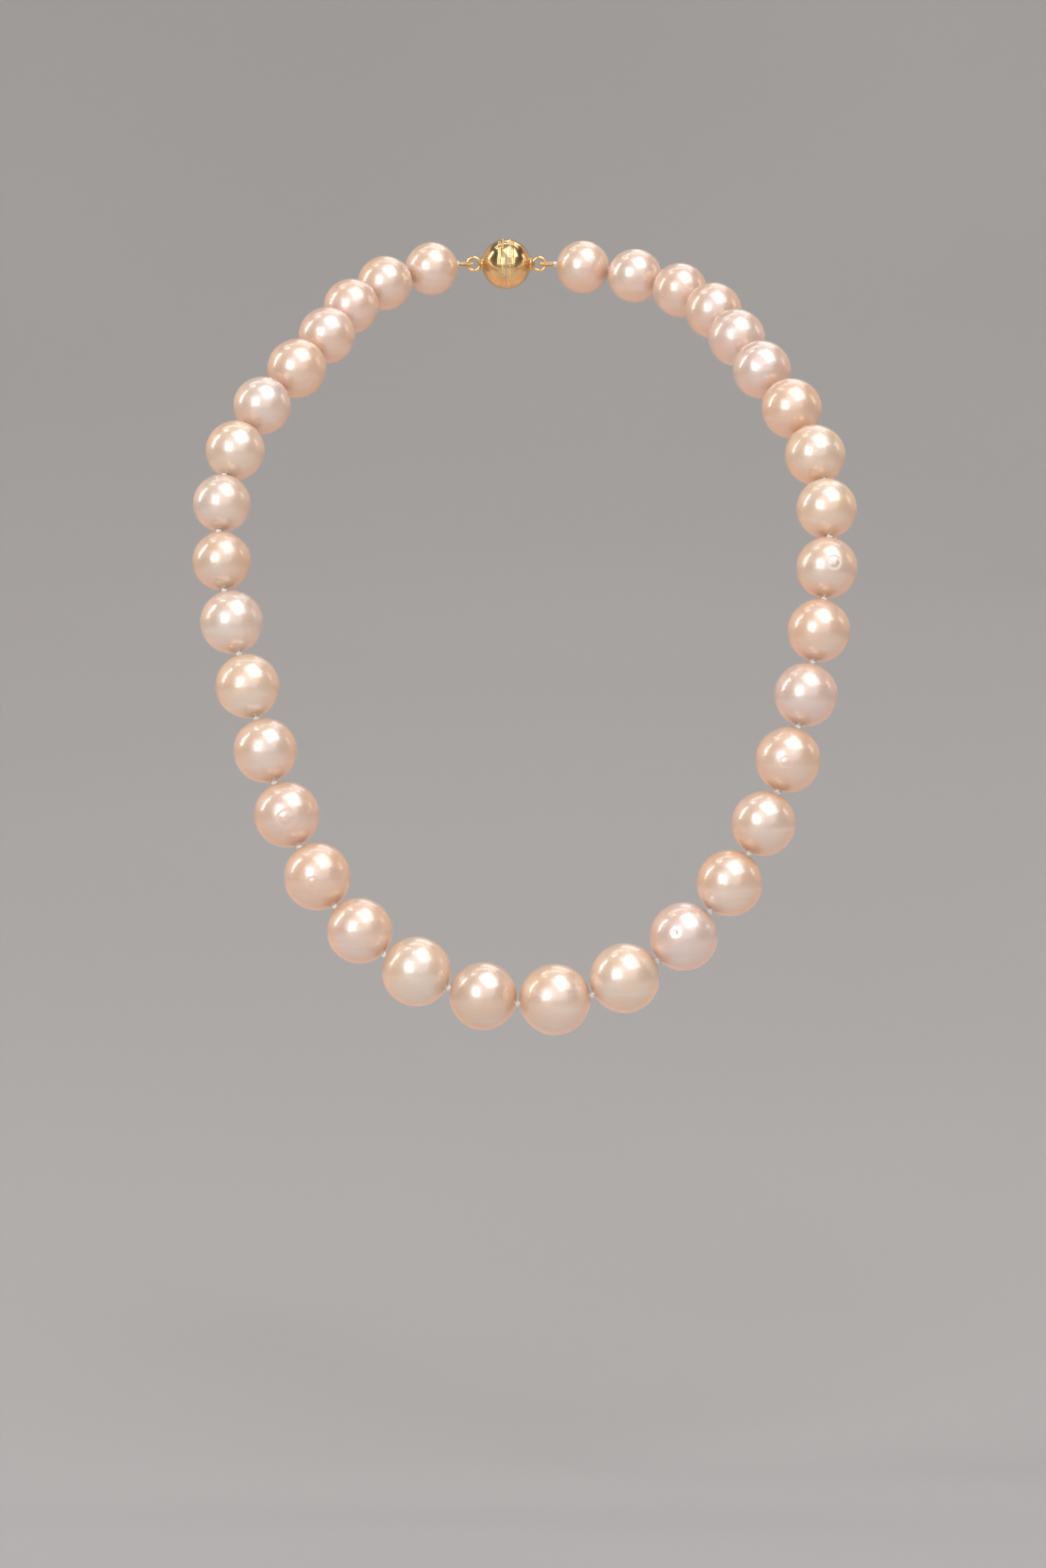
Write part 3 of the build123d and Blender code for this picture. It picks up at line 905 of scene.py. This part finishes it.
def buildMilgrainTree():
    # A row of raised beads round the clasp's seam, joined to the turned shell
    tree, given = newTree("milgrain", {
        "Beads": "Int", "Bead": "Float", "Row radius": "Float", "Row height": "Float",
        "Centre": "Vector", "Side": "Float", "Material": "Material",
    })
    row = addNode(tree, "GeometryNodeCurvePrimitiveCircle", {
        "Resolution": given["Beads"], "Radius": given["Row radius"],
    })
    points = addNode(tree, "GeometryNodeCurveToPoints", {"Curve": row.outputs[0]}, mode="EVALUATED")
    bead = addNode(tree, "GeometryNodeMeshIcoSphere", {"Radius": given["Bead"], "Subdivisions": 2})
    beads = addNode(tree, "GeometryNodeInstanceOnPoints", {
        "Points": points.outputs[0], "Instance": bead.outputs[0],
    })
    height = calc(tree, "MULTIPLY", given["Row height"], given["Side"])
    standing = addNode(tree, "GeometryNodeTransform", {
        "Geometry": beads.outputs[0], "Rotation": (0, math.radians(90), 0),
        "Translation": vectorCalc(tree, "ADD", given["Centre"], vector(tree, height, 0.0, 0.0)),
    })
    real = addNode(tree, "GeometryNodeRealizeInstances", {"Geometry": standing.outputs[0]})
    smooth = addNode(tree, "GeometryNodeSetShadeSmooth", {"Geometry": real.outputs[0]})
    both = addNode(tree, "GeometryNodeJoinGeometry")
    for part in (smooth.outputs[0], given["Geometry"]):
        tree.links.new(part, both.inputs[0])
    endTree(tree, both.outputs[0], given["Material"])
    return tree


milgrainTree = buildMilgrainTree()
for side, sideName in ((-1, "left"), (1, "right")):
    shell = turnShell(f"dome_{sideName}", side)
    shell.shade_smooth()
    shell.set_sharp_from_angle(angle=math.radians(clasp["crispAngle"]))
    piece = grow(f"clasp_dome_{sideName}", milgrainTree, {
        **milgrain, "Centre": nape, "Side": float(side), "Material": gold,
    }, shell)
    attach(piece, f"clasp_{sideName}")
    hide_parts(f"clasp_shell_{sideName}")
    for node, material in ((f"clasp_ring_{sideName}", gold), (f"clasp_magnet_{sideName}", nickel)):
        materials = frame["nodes"][node].data.materials
        materials.clear()
        materials.append(material)
print("clasp turned")


# A round paper sweep: a flat floor that bends up into a wall on every side
sweep = {
    "floor": -227 * mm,
    "radius": 2.4,
    "bend": 1.2,
    "bendSteps": 16,
    "height": 3.0,
    "segments": 96,
    "dark": (0.35, 0.345, 0.34),
    "pale": (0.38, 0.375, 0.37),
    "patch": 2 / 3,  # size of the faint clouds in the paper
}


def makeSweep():
    flat = sweep["radius"] - sweep["bend"]
    profile = [(flat, sweep["floor"])]
    steps = sweep["bendSteps"]
    for step in range(1, steps + 1):
        turn = math.pi / 2 * step / steps
        profile.append((
            flat + sweep["bend"] * math.sin(turn),
            sweep["floor"] + sweep["bend"] * (1 - math.cos(turn)),
        ))
    profile.append((sweep["radius"], sweep["height"]))
    count = sweep["segments"]
    points = [
        (out * math.cos(math.tau * step / count), out * math.sin(math.tau * step / count), z)
        for out, z in profile for step in range(count)
    ]
    faces = [tuple(range(count))]
    for row in range(len(profile) - 1):
        for step in range(count):
            after = (step + 1) % count
            low, high = row * count, (row + 1) * count
            faces.append((low + after, low + step, high + step, high + after))
    mesh = bpy.data.meshes.new("sweep")
    mesh.from_pydata(points, [], faces)
    mesh.shade_smooth()
    material, tree, shader = newMaterial("sweep", **{"Roughness": 0.9})
    paper = noise(tree, place(tree), sweep["patch"])
    colour = ramp(tree, paper, [(0.3, sweep["dark"]), (0.7, sweep["pale"])])
    tree.links.new(colour, shader.inputs["Base Color"])
    mesh.materials.append(material)
    floor = bpy.data.objects.new("sweep", mesh)
    bpy.context.scene.collection.objects.link(floor)


makeSweep()

# Each light: where it stands, what it is aimed at, its width and height, all in metres, its
# strength per square metre and its colour
strand = (0.0, -0.035, -0.075)
lights = {
    "big softbox": ((0.46, -0.53, 1.26), strand, 1.2, 1.4, 8.5, (0.96, 0.97, 1.0)),
    "small softbox": ((-0.63, -1.27, 0.50), strand, 0.7, 0.85, 12.0, (0.98, 0.98, 1.0)),
    "left window": ((-1.33, 0.14, 0.60), strand, 0.14, 1.0, 30, (1.0, 0.98, 0.94)),
    "front panel": ((0.0, -1.42, 0.72), strand, 2.8, 1.6, 2.5, (0.90, 0.94, 1.0)),
    "top strip": ((-0.62, 0.19, 1.27), strand, 0.1, 0.3, 26, (1.0, 0.95, 0.9)),
    "right reflector": ((1.35, 0.28, 0.50), strand, 0.3, 0.5, 5, (1.0, 0.92, 0.84)),
    "left warm card": ((-1.2, 0.86, -0.15), strand, 1.6, 2.2, 1.2, (1.0, 0.57, 0.36)),
    "right warm card": ((1.2, 0.86, -0.15), strand, 1.6, 2.2, 1.2, (1.0, 0.57, 0.36)),
    "low warm card": ((0.0, 0.1, -0.21), (0.0, 0.1, 1.0), 1.0, 0.3, 1.2, (1.0, 0.40, 0.18)),
    "front card": ((0.0, -0.42, -0.215), (0.0, -0.42, 1.0), 1.4, 0.74, 0.75, (0.92, 0.92, 1.0)),
    "back softbox": ((0.35, 1.25, 1.15), strand, 0.9, 0.7, 5.0, (0.97, 0.98, 1.0)),
    "backdrop light": ((0.0, 0.81, 1.62), (0.0, 2.4, 0.3), 2.4, 0.4, 17, (1.0, 0.97, 0.95)),
}
for name, (position, target, width, height, strength, colour) in lights.items():
    light = bpy.data.lights.new(name, "AREA")
    light.shape = "RECTANGLE"
    light.size, light.size_y = width, height
    light.energy = strength * width * height
    light.color = colour
    stand = bpy.data.objects.new(name, light)
    stand.location = position
    stand.rotation_euler = (Vector(target) - stand.location).to_track_quat("-Z", "Y").to_euler()
    stand.visible_camera = False
    bpy.context.scene.collection.objects.link(stand)

room = {"Color": (0.95, 0.89, 0.84, 1), "Strength": 0.33}
world = bpy.data.worlds.new("room")
world.use_nodes = True
for socket, value in room.items():
    world.node_tree.nodes["Background"].inputs[socket].default_value = value
bpy.context.scene.world = world
print("lights set")
